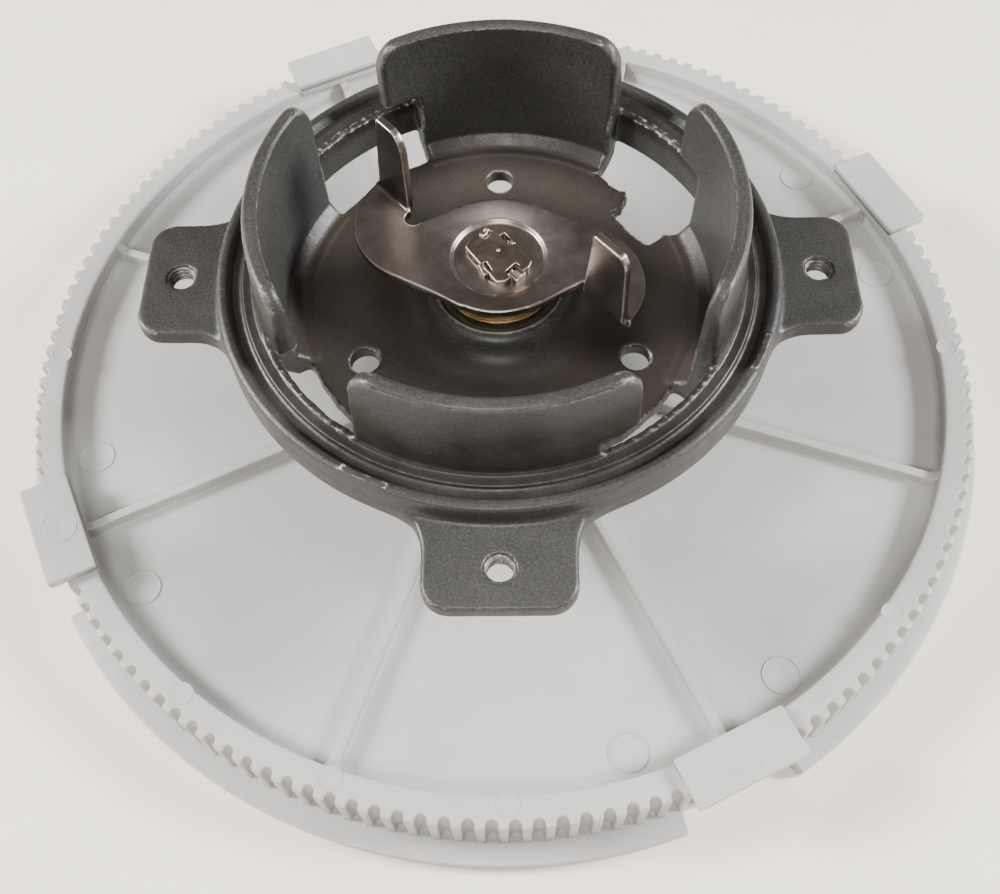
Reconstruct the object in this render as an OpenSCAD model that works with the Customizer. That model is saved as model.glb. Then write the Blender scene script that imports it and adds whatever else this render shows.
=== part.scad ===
// Toothed drive wheel with its cast pan socket, stamped coupling and plain-bearing shaft.
// Origin: on the shaft axis, in the plane the wheel rests on. +Z points up the shaft.

/* [Toothed wheel] */
// Number of belt grooves round the rim
groove_count = 150; // [142:2:156]
// Distance from one belt groove to the next along the pitch line
belt_pitch = 3; // [2.95:0.01:3.05]
// Depth of a belt groove
groove_depth = 1.28; // [1.1:0.02:1.4]
// Width of a belt groove at the tooth tips
groove_width = 1.7; // [1.5:0.05:2.0]
// Height of the rim above the resting plane
rim_height = 10.8; // [10.4:0.1:11.6]
// Thickness of the belt flange at the bottom of the rim
flange_thickness = 2.4; // [1.6:0.1:3]
// How far the flange stands out past the tooth tips
flange_overhang = 3; // [2:0.1:4]
// Radial thickness of the rim behind the grooves
rim_wall = 2.96; // [2.4:0.02:3.4]
// Depth of the web below the top of the rim
web_depth = 3.3; // [2.6:0.1:3.6]
// Thickness of the web
web_thickness = 2.5; // [2:0.1:3]
// Height of the ribs above the web
rib_height = 1.8; // [1:0.1:2.4]
// Width of a rib
rib_width = 1.8; // [1.2:0.1:2.4]
// Radius of the plastic hub
hub_radius = 13; // [11.5:0.5:16]

/* [Belt guard tabs] */
// Width of a tab along the rim
tab_width = 16; // [12:0.5:20]
// Radial length of a tab
tab_length = 6.9; // [5.5:0.1:8]
// Thickness of a tab
tab_thickness = 1.4; // [1:0.1:2]
// Angle of the first tab, measured from +X
tab_angle = 25.6; // [15:0.1:35]

/* [Pan socket casting] */
// Radius from the axis to the threaded holes in the ears
ear_hole_pcd_radius = 44.5; // [44:0.1:45.5]
// Wall radius of an ear hole
ear_hole_radius = 1.65; // [1.6:0.05:2.15]
// Radius from the axis to the holes in the floor
floor_hole_pcd_radius = 21.7; // [20:0.1:23]
// Wall radius of a floor hole
floor_hole_radius = 2.0; // [1.5:0.05:2.4]
// Outer radius of the ring
ring_radius = 38.6; // [38:0.1:39.2]
// Height of the claw tips above the resting plane
claw_top = 46.6; // [44:0.1:50]
// Underside of the overhanging end of each claw
overhang_z = 35.6; // [34.6:0.1:38]
// Clockwise end of each claw, in degrees from its centre line
claw_cw_end = 33.5; // [30:0.5:35]
// Counter-clockwise end of each claw, in degrees from its centre line
claw_ccw_end = 32.5; // [28:0.5:34]
// Counter-clockwise end of the wall below each claw
wall_ccw_end = 22.5; // [18:0.5:26]

/* [Shaft and bushes] */
// Radius of the shaft
shaft_radius = 4; // [3.6:0.1:4.4]
// Radial running clearance between the shaft and each bush
running_gap = 0.03; // [0.01:0.01:0.08]
// Distance across the flats at the wheel end
hub_flats = 6.4; // [5.8:0.1:6.8]
// Distance across the flats of the tang at the coupling end
tang_flats = 5.9; // [5.2:0.1:6.4]
// Angle of the tang flats, measured from +X
tang_angle = -55; // [-90:1:90]

/* [Drive coupling] */
// Sheet thickness of the stamping
sheet = 1.3; // [1:0.1:1.6]
// Angle of the arms of the S, measured from +X
arm_angle = -60; // [-90:1:90]
// Angle between the upright tabs and the arms that carry them
blade_turn = 11.3; // [9:0.1:13]
// Height of the upright tabs above the resting plane
blade_top = 46.8; // [44:0.1:50]

/* [Hidden] */
$fn = 96;
e = 0.01;

pitch_radius = groove_count * belt_pitch / (2 * PI);
tip_radius = pitch_radius - 0.381;
root_radius = tip_radius - groove_depth;
rim_inner_radius = root_radius - rim_wall;
flange_radius = tip_radius + flange_overhang;
groove_round = groove_width / 2 - 0.05;
web_top = rim_height - web_depth;
web_bottom = web_top - web_thickness;
tab_inner = rim_inner_radius - 0.8;
flange_gap = tab_width + 1.2;

// Stack of heights along the shaft, from the resting plane up
shaft_bottom = 0.25;
clip_z = 0.9;
clip_thickness = 0.8;
hub_bottom = 2.2;
hub_top = 10.1;
lower_spacer_top = 10.6;
lower_thrust_top = 11.05;
lower_flange_bottom = 11.1;
housing_bottom = 12.3;
lower_sleeve_top = 19;
upper_sleeve_bottom = 20.5;
floor_bottom = 22.4;
floor_top = 24.8;
bush_seat = 27.4;
boss_top = 28.2;
upper_flange_top = 28.9;
upper_thrust_bottom = 28.95;
upper_thrust_top = 29.95;
dish_bottom = 31.8;
dish_top = dish_bottom + sheet;
arm_top = dish_top + 1.3;
arm_bottom = arm_top - sheet;
tang_top = 34.1;

ring_bottom = 27.3;
ring_top = 33.6;
ring_inner_radius = 32.9;
floor_radius = 28.3;
housing_radius = 9.5;
bush_radius = 6;
bush_flange_radius = 7.8;
washer_bore = 4.1;
ear_bottom = 27.2;
ear_top = 30;
ear_half_width = 9.6;
ear_end = 49.8;
ear_corner = 3.6;
ear_fillet = 4;
claw_corner = 4.4;
claw_half_width = 18.1;
insert_radius = 8.5;
clip_groove_radius = 3.2;
left_fold = 4.2;
right_fold = 5.1;

// Points of an arc about a centre, from one angle to another
function arc(c, r, a0, a1, steps) =
  [for (i = [0 : steps]) let (a = a0 + (a1 - a0) * i / steps) c + r * [cos(a), sin(a)]];

// One belt groove in its own tangential and radial directions
groove_profile = concat(
  [[-groove_width / 2, tip_radius]],
  arc([0, root_radius + groove_round], groove_round, 180, 360, 4),
  [[groove_width / 2, tip_radius]]
);

function place(p, a) = [p[1] * cos(a) - p[0] * sin(a), p[1] * sin(a) + p[0] * cos(a)];

module four() {
  for (k = [0 : 3]) rotate(90 * k) children();
}

module ring(z0, z1, r0, r1) {
  translate([0, 0, z0]) difference() {
    cylinder(h = z1 - z0, r = r1);
    translate([0, 0, -1]) cylinder(h = z1 - z0 + 2, r = r0);
  }
}

// Flat bar through the axis, used to cut or match the shaft's flats
module flats_2d(radius, across) {
  intersection() {
    circle(r = radius);
    square([2 * radius + 2, across], center = true);
  }
}

// ---- Toothed wheel ----

module toothed_rim() {
  translate([0, 0, flange_thickness]) linear_extrude(rim_height - flange_thickness) difference() {
    polygon([for (i = [0 : groove_count - 1]) for (p = groove_profile)
      place(p, 360 * i / groove_count)]);
    circle(r = rim_inner_radius);
  }
}

module belt_flange() {
  linear_extrude(flange_thickness) difference() {
    union() {
      circle(r = tip_radius);
      difference() {
        circle(r = flange_radius);
        rotate(tab_angle) four() translate([rim_inner_radius, -flange_gap / 2])
          square([flange_overhang + 10, flange_gap]);
      }
    }
    circle(r = rim_inner_radius);
  }
}

module guard_tab() {
  translate([tab_inner, -tab_width / 2, rim_height]) cube([tab_length, tab_width, tab_thickness]);
  translate([tab_inner, -tab_width / 2, rim_height - 1])
    cube([root_radius - tab_inner - 0.8, tab_width, 1 + tab_thickness / 2]);
}

module wheel_rib() {
  translate([hub_radius - 1, -rib_width / 2, web_top - e])
    cube([rim_inner_radius - hub_radius + 1.5, rib_width, rib_height + e]);
}

module toothed_pulley() {
  color("gainsboro") difference() {
    union() {
      toothed_rim();
      belt_flange();
      ring(web_bottom, web_top, hub_radius - 2, rim_inner_radius + 0.5);
      translate([0, 0, hub_bottom]) cylinder(h = hub_top - hub_bottom, r = hub_radius);
      rotate(tab_angle) four() guard_tab();
      for (k = [0 : 7]) rotate(tab_angle + 45 * k) wheel_rib();
    }
    translate([0, 0, hub_bottom - 1]) cylinder(h = hub_top - hub_bottom + 2, r = insert_radius, $fn = 6);
  }
}

module hub_insert() {
  color("silver") translate([0, 0, hub_bottom]) linear_extrude(hub_top - hub_bottom) difference() {
    circle(r = insert_radius, $fn = 6);
    flats_2d(shaft_radius + 0.02, hub_flats + 0.04);
  }
}

// ---- Pan socket casting ----

module socket_core() {
  rotate_extrude() polygon(concat(
    [[bush_radius, housing_bottom], [housing_radius, housing_bottom], [housing_radius, floor_bottom],
     [floor_radius, floor_bottom], [floor_radius, floor_top]],
    arc([14, floor_top + 4], 4, 270, 205, 5),
    [[10, boss_top], [8.9, boss_top], [8.9, bush_seat], [bush_radius, bush_seat]]
  ));
}

module socket_ring() {
  rotate_extrude() polygon(concat(
    [[ring_inner_radius, ring_bottom], [ring_radius - 0.7, ring_bottom],
     [ring_radius, ring_bottom + 0.7]],
    arc([ring_radius - 1, ring_top - 1], 1, 0, 150, 5),
    [[36.5, ring_top - 1.2], [35.5, ring_top - 1.2], [35, ring_top - 0.6], [33.6, ring_top - 0.5],
     [ring_inner_radius, ring_top - 0.8]]
  ));
}

// One claw and the wall below it, which ties it to the floor and the ring. The claw's
// counter-clockwise end overhangs, because the wall stops short of it.
module socket_claw() {
  difference() {
    intersection() {
      rotate(-claw_cw_end) rotate_extrude(angle = claw_cw_end + claw_ccw_end) polygon(concat(
        [[27.5, floor_bottom], [30.5, floor_bottom], [33.2, floor_bottom + 2.8],
         [33.4, ring_top - 0.8], [32.3, claw_top - 0.5], [31.9, claw_top], [30.8, claw_top],
         [30.4, claw_top - 0.5]],
        [[29.9, floor_top + 1.7], [28.2, floor_top], [27.5, floor_top]]
      ));
      translate([20, 0, 0]) rotate([90, 0, 90]) linear_extrude(20) union() {
        translate([-25, 20]) square([50, claw_top - claw_corner - 20]);
        translate([-claw_half_width + claw_corner, 21])
          square([2 * (claw_half_width - claw_corner), claw_top - 20]);
        for (s = [-1, 1])
          translate([s * (claw_half_width - claw_corner), claw_top - claw_corner + 0.2])
            circle(r = claw_corner);
      }
    }
    rotate(wall_ccw_end) rotate_extrude(angle = 20)
      polygon([[25, 20], [36, 20], [36, overhang_z], [25, overhang_z]]);
  }
}

// Ear with rounded outer corners and concave blends into the ring
module ear_2d() {
  meet = ring_radius - 0.25;
  blend_x = sqrt(pow(meet + ear_fillet, 2) - pow(ear_half_width + ear_fillet, 2));
  centre = [blend_x, ear_half_width + ear_fillet];
  touch = centre * meet / (meet + ear_fillet);
  difference() {
    union() {
      translate([34, -ear_half_width]) square([ear_end - ear_corner - 34, 2 * ear_half_width]);
      translate([34, -ear_half_width + ear_corner])
        square([ear_end - 34, 2 * (ear_half_width - ear_corner)]);
      for (s = [-1, 1]) translate([ear_end - ear_corner, s * (ear_half_width - ear_corner)])
        circle(r = ear_corner);
      for (s = [-1, 1])
        polygon([[34, 0], [blend_x, 0], [centre[0], s * centre[1]], [touch[0], s * touch[1]]]);
    }
    for (s = [-1, 1]) translate([centre[0], s * centre[1]]) circle(r = ear_fillet);
    circle(r = 34.5);
  }
}

// Floor opening that was cut wider than the other three, with two ragged noses
module wide_opening_2d() {
  polygon([[16.4, 24.0], [16.9, 20.9], [19.0, 19.6], [19.2, 18.2], [16.9, 15.3], [20.4, 10.2],
    [22.2, 9.2], [24.4, 11.2], [25.2, 10.9], [27.5, 12.2], [31, 16], [20, 28]]);
}

module pan_socket() {
  color("dimgray") difference() {
    union() {
      difference() {
        socket_core();
        translate([0, 0, floor_bottom - 1]) linear_extrude(4) wide_opening_2d();
      }
      socket_ring();
      four() socket_claw();
      four() translate([0, 0, ear_bottom]) linear_extrude(ear_top - ear_bottom) ear_2d();
    }
    four() translate([ear_hole_pcd_radius, 0, ear_bottom - 1]) cylinder(h = 6, r = ear_hole_radius);
    for (k = [0 : 2]) rotate(90 + 120 * k) translate([floor_hole_pcd_radius, 0, floor_bottom - 1])
      cylinder(h = 5, r = floor_hole_radius);
  }
}

// ---- Bearings, shaft and washers ----

module flanged_bush(sleeve0, sleeve1, flange0, flange1) {
  color("darkgoldenrod") difference() {
    union() {
      translate([0, 0, sleeve0]) cylinder(h = sleeve1 - sleeve0, r = bush_radius);
      translate([0, 0, flange0]) cylinder(h = flange1 - flange0, r = bush_flange_radius);
    }
    translate([0, 0, sleeve0 - 5]) cylinder(h = 30, r = shaft_radius + running_gap);
  }
}

module upper_bush() {
  flanged_bush(upper_sleeve_bottom, bush_seat + e, bush_seat, upper_flange_top);
}

module lower_bush() {
  flanged_bush(housing_bottom - e, lower_sleeve_top, lower_flange_bottom, housing_bottom);
}

// Waste on both sides of a pair of flats
module flats_waste(z0, z1, across) {
  for (s = [0, 180]) rotate(s) translate([-8, across / 2, z0]) cube([16, 6, z1 - z0]);
}

module drive_shaft() {
  color("gray") difference() {
    rotate_extrude() polygon([
      [0, shaft_bottom], [shaft_radius - 0.4, shaft_bottom], [shaft_radius, shaft_bottom + 0.4],
      [shaft_radius, clip_z], [clip_groove_radius, clip_z],
      [clip_groove_radius, clip_z + clip_thickness], [shaft_radius, clip_z + clip_thickness],
      [shaft_radius, tang_top - 0.3], [shaft_radius - 0.3, tang_top], [0, tang_top]
    ]);
    flats_waste(shaft_bottom - 1, hub_top, hub_flats);
    rotate(tang_angle) flats_waste(dish_bottom, tang_top + 1, tang_flats);
  }
}

module upper_thrust_washer() {
  color("goldenrod") ring(upper_thrust_bottom, upper_thrust_top, washer_bore, 7.5);
}

module upper_spacer_washer() {
  color("dimgray") ring(upper_thrust_top, dish_bottom, washer_bore, 7);
}

module lower_thrust_washer() {
  color("goldenrod") ring(lower_spacer_top, lower_thrust_top, washer_bore, 8);
}

module lower_spacer_washer() {
  color("silver") ring(hub_top, lower_spacer_top, washer_bore, 8.5);
}

module hub_washer() {
  color("silver") ring(clip_z + clip_thickness, hub_bottom, washer_bore, 8.5);
}

// E-shaped clip that snaps into the shaft groove from the side
module retaining_clip() {
  color("darkslategray") translate([0, 0, clip_z]) linear_extrude(clip_thickness) difference() {
    circle(r = 6.4);
    circle(r = clip_groove_radius + 0.02);
    translate([0, -2.7]) square([8, 5.4]);
    for (s = [-1, 1]) rotate(s * 118) translate([3.6, -0.9]) square([1.5, 1.8]);
  }
}

// ---- Drive coupling ----

arm_centre = [-9.74, -5.46];
arm_radius = 10.4;
collar_radius = 9.9;
arm_normal = [0.489, -0.872];
slot_edge = -10.1;
slot_radius = 1.25;

// One S-arm. fold is the distance from the axis to the outer face of its upright tab
module arm_2d(fold) {
  difference() {
    union() {
      difference() {
        translate(arm_centre) circle(r = arm_radius);
        translate([-30, -4]) square([40, 20]);
      }
      polygon([arm_centre, arm_centre + arm_radius * arm_normal, collar_radius * arm_normal, [0, 0]]);
      polygon([[slot_edge, -9], [slot_edge, -1.6], [-9.7, 1], [0, 0], [0, -9]]);
    }
    intersection() {
      translate([-30, -20]) square([30 + slot_edge, 40]);
      rotate(blade_turn) translate([-40, 0.1 - fold]) square([60, 30]);
    }
    translate([slot_edge - 1.3, -7]) circle(r = slot_radius);
  }
}

// Upright tab. fold is the distance from the axis to its outer face, outline runs along it and up
module blade(fold, outline) {
  rotate(blade_turn) translate([0, 0.1 - fold + sheet - 0.1, 0]) rotate([90, 0, 0])
    linear_extrude(sheet - 0.1) polygon(outline);
}

module dish() {
  difference() {
    rotate_extrude() polygon([
      [2, dish_bottom], [6.4, dish_bottom], [6.9, dish_bottom + 0.45], [collar_radius, arm_bottom],
      [collar_radius, arm_top], [6.9, dish_top + 0.45], [6.3, dish_top], [2, dish_top]
    ]);
    translate([0, 0, dish_bottom - 1]) rotate(tang_angle - arm_angle) linear_extrude(6)
      flats_2d(shaft_radius + 0.02, tang_flats + 0.04);
  }
}

module sheet_arm(fold) {
  translate([0, 0, arm_bottom]) linear_extrude(sheet) difference() {
    arm_2d(fold);
    circle(r = collar_radius - 0.3);
  }
}

module drive_coupling() {
  color("rosybrown") rotate(arm_angle) union() {
    dish();
    sheet_arm(left_fold);
    blade(left_fold, concat(
      [[-20.6, arm_bottom], [-19.85, blade_top], [-16.9, blade_top]],
      arc([-17.1, blade_top - 2.2], 2.1, 60, 0, 3),
      [[-14.1, arm_top], [-14.1, arm_bottom]]
    ));
    rotate(180) {
      sheet_arm(right_fold);
      blade(right_fold, concat(
        [[-19.1, arm_bottom], [-19.4, blade_top - 1.3]],
        arc([-18.1, blade_top - 1.3], 1.3, 180, 90, 3),
        [[-13.7, blade_top], [-12.3, arm_top], [-12.3, arm_bottom]]
      ));
    }
  }
}

toothed_pulley();
hub_insert();
pan_socket();
upper_bush();
lower_bush();
drive_shaft();
drive_coupling();
upper_thrust_washer();
upper_spacer_washer();
lower_thrust_washer();
lower_spacer_washer();
hub_washer();
retaining_clip();
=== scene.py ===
"""Looks of the toothed drive wheel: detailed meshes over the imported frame, procedural materials,
camera and light. Shapes are worked out in millimetres in the frame's axes, and make() turns them
into metres. Material sizes given as size_mm are millimetres too."""

import math

import bpy
import numpy as np
from mathutils import Matrix, Vector


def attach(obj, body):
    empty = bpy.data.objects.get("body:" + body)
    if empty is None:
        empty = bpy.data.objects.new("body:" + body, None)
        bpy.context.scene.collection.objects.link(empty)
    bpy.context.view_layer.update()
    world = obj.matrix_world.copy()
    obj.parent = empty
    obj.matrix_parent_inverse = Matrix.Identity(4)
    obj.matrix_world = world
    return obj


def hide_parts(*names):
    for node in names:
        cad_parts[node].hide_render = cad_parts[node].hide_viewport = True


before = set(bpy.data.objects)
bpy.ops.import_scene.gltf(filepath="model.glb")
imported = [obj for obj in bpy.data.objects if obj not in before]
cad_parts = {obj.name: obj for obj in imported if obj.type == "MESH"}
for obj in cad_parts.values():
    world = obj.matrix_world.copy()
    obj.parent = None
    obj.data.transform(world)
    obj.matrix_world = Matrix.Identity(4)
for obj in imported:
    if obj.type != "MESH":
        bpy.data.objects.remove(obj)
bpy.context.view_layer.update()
MM = 0.001
TAB_ANGLE = 25.6
BLADE_ANGLE = -60.0
TANG_ANGLE = -55.0

# ---------------------------------------------------------------- distance fields


def su(a, b, k):
    """Union of two distance fields with a blend about k wide."""
    h = np.maximum(k - np.abs(a - b), 0)
    return np.minimum(a, b) - h * h / (4 * k)


def si(a, b, k):
    """Intersection of two distance fields with a rounded edge about k wide."""
    return -su(-a, -b, k)


def poly_sd(px, py, pts):
    """Signed distance from points to a closed polygon, negative inside."""
    pts = np.array(pts, np.float32)
    d = np.full(np.broadcast(px, py).shape, 1e9, np.float32)
    inside = np.zeros(d.shape, bool)
    for (ax, ay), (bx, by) in zip(pts, np.roll(pts, -1, 0)):
        ex, ey = bx - ax, by - ay
        wx, wy = px - ax, py - ay
        t = np.clip((wx * ex + wy * ey) / (ex * ex + ey * ey), 0, 1)
        d = np.minimum(d, (wx - t * ex) ** 2 + (wy - t * ey) ** 2)
        if ey != 0:
            inside ^= ((py >= min(ay, by)) & (py < max(ay, by))) & (wx < wy * ex / ey)
    return np.where(inside, -np.sqrt(d), np.sqrt(d)).astype(np.float32)


def box_sd(px, py, x0, x1, y0, y1, r=0.0):
    """Signed distance to a rectangle with corners rounded by r."""
    qx = np.abs(px - (x0 + x1) / 2) - (x1 - x0) / 2 + r
    qy = np.abs(py - (y0 + y1) / 2) - (y1 - y0) / 2 + r
    return np.hypot(np.maximum(qx, 0), np.maximum(qy, 0)) + np.minimum(np.maximum(qx, qy), 0) - r


def wobble(x, y, z, wave, seed=0.0):
    """Smooth pseudo-random field from -1 to 1, with features about one wave long."""
    w = 2 * math.pi / wave
    s = seed * 1.7
    return (
        np.sin(w * (0.91 * x + 0.31 * y + 0.17 * z) + 1.3 + s)
        + np.sin(w * (-0.42 * x + 0.83 * y - 0.28 * z) * 1.31 + 2.1 * s + 0.4)
        + np.sin(w * (0.22 * x - 0.53 * y + 0.94 * z) * 0.87 + 3.3 * s + 2.2)
        + np.sin(w * (0.71 * x + 0.64 * y - 0.51 * z) * 1.73 + 0.9 * s)
    ) / 4


CORNERS = [(i, j, k) for i in (0, 1) for j in (0, 1) for k in (0, 1)]


def surface_nets(F, axes, wrap=False):
    """Quad mesh of the zero surface of F, sampled on a rectilinear grid.

    wrap closes the second axis on itself."""
    if wrap:
        F = np.concatenate([F, F[:, :1]], 1)
        step = axes[1][1] - axes[1][0]
        axes = [axes[0], np.append(axes[1], axes[1][-1] + step), axes[2]]
    inside = F < 0
    n = [s - 1 for s in F.shape]
    count = np.zeros(n, np.uint8)
    for i, j, k in CORNERS:
        count += inside[i : i + n[0], j : j + n[1], k : k + n[2]]
    active = (count > 0) & (count < 8)
    cells = np.argwhere(active)
    vid = np.full(n, -1, np.int64)
    vid[active] = np.arange(len(cells))
    total = np.zeros((len(cells), 3))
    hits = np.zeros(len(cells))
    for a in CORNERS:
        for d in range(3):
            if a[d]:
                continue
            b = list(a)
            b[d] = 1
            pa = cells + a
            pb = cells + b
            fa = F[pa[:, 0], pa[:, 1], pa[:, 2]]
            fb = F[pb[:, 0], pb[:, 1], pb[:, 2]]
            cross = (fa < 0) != (fb < 0)
            t = np.where(cross, fa / np.where(cross, fa - fb, 1), 0)
            for m in range(3):
                ca, cb = axes[m][pa[:, m]], axes[m][pb[:, m]]
                total[:, m] += np.where(cross, ca + t * (cb - ca), 0)
            hits += cross
    verts = total / hits[:, None]
    quads = []
    for d in range(3):
        p, q = (d + 1) % 3, (d + 2) % 3
        lo = [slice(None)] * 3
        hi = [slice(None)] * 3
        lo[d], hi[d] = slice(0, -1), slice(1, None)
        flips = inside[tuple(lo)] != inside[tuple(hi)]
        at = np.argwhere(flips)
        if wrap and d != 1:
            at = at[at[:, 1] < n[1]]
        keep = np.ones(len(at), bool)
        for m in (p, q):
            if not (wrap and m == 1):
                keep &= (at[:, m] > 0) & (at[:, m] < n[m])
        at = at[keep]
        ring = []
        for dp, dq in ((-1, -1), (0, -1), (0, 0), (-1, 0)):
            c = at.copy()
            c[:, p] += dp
            c[:, q] += dq
            if wrap:
                c[:, 1] %= n[1]
            ring.append(vid[c[:, 0], c[:, 1], c[:, 2]])
        face = np.stack(ring, 1)
        out = inside[at[:, 0], at[:, 1], at[:, 2]]
        face[~out] = face[~out][:, ::-1]
        quads.append(face)
    return verts, np.concatenate(quads)


def polar_grid(radii, steps, heights):
    th = np.arange(steps) * 2 * math.pi / steps
    r = radii.astype(np.float32)[:, None, None]
    t = th.astype(np.float32)[None, :, None]
    z = heights.astype(np.float32)[None, None, :]
    return (radii, th, heights), r, t, z


def from_polar(v):
    return np.stack([v[:, 0] * np.cos(v[:, 1]), v[:, 0] * np.sin(v[:, 1]), v[:, 2]], 1)


def spans(*parts):
    """Grid lines: (start, stop, spacing) spans joined end to end."""
    out = []
    for a, b, s in parts:
        m = max(1, int(round((b - a) / s)))
        out += list(a + (b - a) * np.arange(m) / m)
    return np.array(out + [parts[-1][1]])


# ---------------------------------------------------------------- mesh making


def curvature(V, Q, rounds):
    """How convex each vertex is, in 1/mm, averaged over its surroundings."""
    f = V[Q]
    fn = np.cross(f[:, 2] - f[:, 0], f[:, 3] - f[:, 1])
    n = np.zeros_like(V)
    for k in range(4):
        np.add.at(n, Q[:, k], fn)
    n /= np.linalg.norm(n, axis=1)[:, None] + 1e-12
    a = np.concatenate([Q[:, k] for k in range(4)])
    b = np.concatenate([Q[:, (k + 1) % 4] for k in range(4)])
    size = len(V)
    deg = np.bincount(a, minlength=size) + np.bincount(b, minlength=size) + 1e-9

    def mean(x):
        return (np.bincount(a, x[b], size) + np.bincount(b, x[a], size)) / deg

    lap = np.stack([mean(V[:, m]) for m in range(3)], 1) - V
    edge = np.linalg.norm(V[a] - V[b], axis=1) ** 2
    length2 = (np.bincount(a, edge, size) + np.bincount(b, edge, size)) / deg
    c = -(lap * n).sum(1) / (length2 + 1e-9) * 2
    c = np.clip(c, -3, 3)
    for _ in range(rounds):
        c = 0.5 * c + 0.5 * mean(c)
    return c


def make(name, V, quads, mat, body, node, wear):
    """A smooth mesh object from millimetre vertices, riding on a body in place of a CAD node."""
    me = bpy.data.meshes.new(name)
    me.vertices.add(len(V))
    me.vertices.foreach_set("co", (V * MM).astype(np.float32).ravel())
    me.loops.add(quads.size)
    me.loops.foreach_set("vertex_index", quads.astype(np.int32).ravel())
    me.polygons.add(len(quads))
    me.polygons.foreach_set("loop_start", np.arange(0, quads.size, 4, dtype=np.int32))
    me.update(calc_edges=True)
    me.validate()
    me.polygons.foreach_set("use_smooth", np.full(len(me.polygons), True))
    me.materials.append(mat)
    layer = me.attributes.new("wear", "FLOAT", "POINT")
    layer.data.foreach_set("value", wear.astype(np.float32))
    o = bpy.data.objects.new(name, me)
    bpy.context.scene.collection.objects.link(o)
    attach(o, body)
    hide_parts(node)


def grid_quads(rows, cols, close_rows=False):
    """Quads of a rows by cols lattice of vertices, whose columns close on themselves."""
    i = np.arange(rows if close_rows else rows - 1)
    I, J = np.meshgrid(i, np.arange(cols), indexing="ij")
    I2, J2 = (I + 1) % rows, (J + 1) % cols
    return np.stack([I * cols + J, I * cols + J2, I2 * cols + J2, I2 * cols + J], -1).reshape(-1, 4)


def shells(parts):
    """Joins (vertices, quads) pairs into one."""
    V, Q, base = [], [], 0
    for v, q in parts:
        V.append(v)
        Q.append(q + base)
        base += len(v)
    return np.concatenate(V), np.concatenate(Q)


def outward(v, q):
    """Turns a closed shell's faces so that they look out."""
    f = v[q]
    vol = (np.cross(f[:, 1] - f[:, 0], f[:, 2] - f[:, 0]) * f[:, 0]).sum()
    vol += (np.cross(f[:, 2] - f[:, 0], f[:, 3] - f[:, 0]) * f[:, 0]).sum()
    return (v, q) if vol > 0 else (v, q[:, ::-1])


def rounded(profile, r, steps=3):
    """A closed (radius, height) profile with each corner rounded by r."""
    P = np.array(profile, float)
    out = []
    for a, b, c in zip(np.roll(P, 1, 0), P, np.roll(P, -1, 0)):
        u, w = (a - b), (c - b)
        lu, lw = np.linalg.norm(u), np.linalg.norm(w)
        k = min(r, 0.45 * lu, 0.45 * lw)
        s, e = b + u / lu * k, b + w / lw * k
        for t in np.linspace(0, 1, steps + 1):
            out.append((1 - t) ** 2 * s + 2 * t * (1 - t) * b + t * t * e)
    return out


def lathe(profile, r, count=128):
    """A closed (radius, height) profile turned about the shaft axis, its corners rounded by r."""
    P = np.array(rounded(profile, r))
    T = np.arange(count)[None, :] * 2 * math.pi / count
    R = np.broadcast_to(P[:, 0][:, None], (len(P), count))
    Z = np.broadcast_to(P[:, 1][:, None], R.shape)
    v = np.stack([R * np.cos(T), R * np.sin(T), Z], -1).reshape(-1, 3)
    return outward(v, grid_quads(len(P), count, close_rows=True))


def turned(v, degrees):
    """Vertices turned about the shaft axis."""
    a = math.radians(degrees)
    c, s = math.cos(a), math.sin(a)
    return np.stack([v[:, 0] * c - v[:, 1] * s, v[:, 0] * s + v[:, 1] * c, v[:, 2]], 1)


def rounded_box(x0, x1, y0, y1, z0, z1, r, turn):
    """A box with all edges rounded by r, turned about the shaft axis by turn degrees."""
    ang = np.linspace(0, math.pi / 2, 4)
    m = 2.6 * r  # corner radius in plan
    corners = ((x1 - m, y1 - m), (x0 + m, y1 - m), (x0 + m, y0 + m), (x1 - m, y0 + m))
    plan = []
    for quarter, (cx, cy) in enumerate(corners):
        for a in ang + quarter * math.pi / 2:
            plan.append((cx, cy, math.cos(a), math.sin(a)))
    plan = np.array(plan)
    rows = [(z0, -2.4 * r)]
    rows += [(z0 + r - r * math.sin(a), -r + r * math.cos(a)) for a in ang[::-1]]
    rows += [(z1 - r + r * math.sin(a), -r + r * math.cos(a)) for a in ang]
    rows += [(z1, -2.4 * r)]
    V = []
    for z, off in rows:
        ring = plan[:, :2] + plan[:, 2:] * (m + off)
        V.append(np.column_stack([ring, np.full(len(plan), z)]))
    cols = len(plan)
    V = np.concatenate(V)
    Q = grid_quads(len(rows), cols)
    caps = []
    for row, rev in ((0, True), (len(rows) - 1, False)):
        base = row * cols
        m = cols // 2
        for k in range(m - 1):
            f = [base + k, base + k + 1, base + cols - 2 - k, base + cols - 1 - k]
            caps.append(f[::-1] if rev else f)
    Q = np.concatenate([Q, np.array(caps)])
    return outward(turned(V, turn), Q)


# ---------------------------------------------------------------- materials


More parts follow.
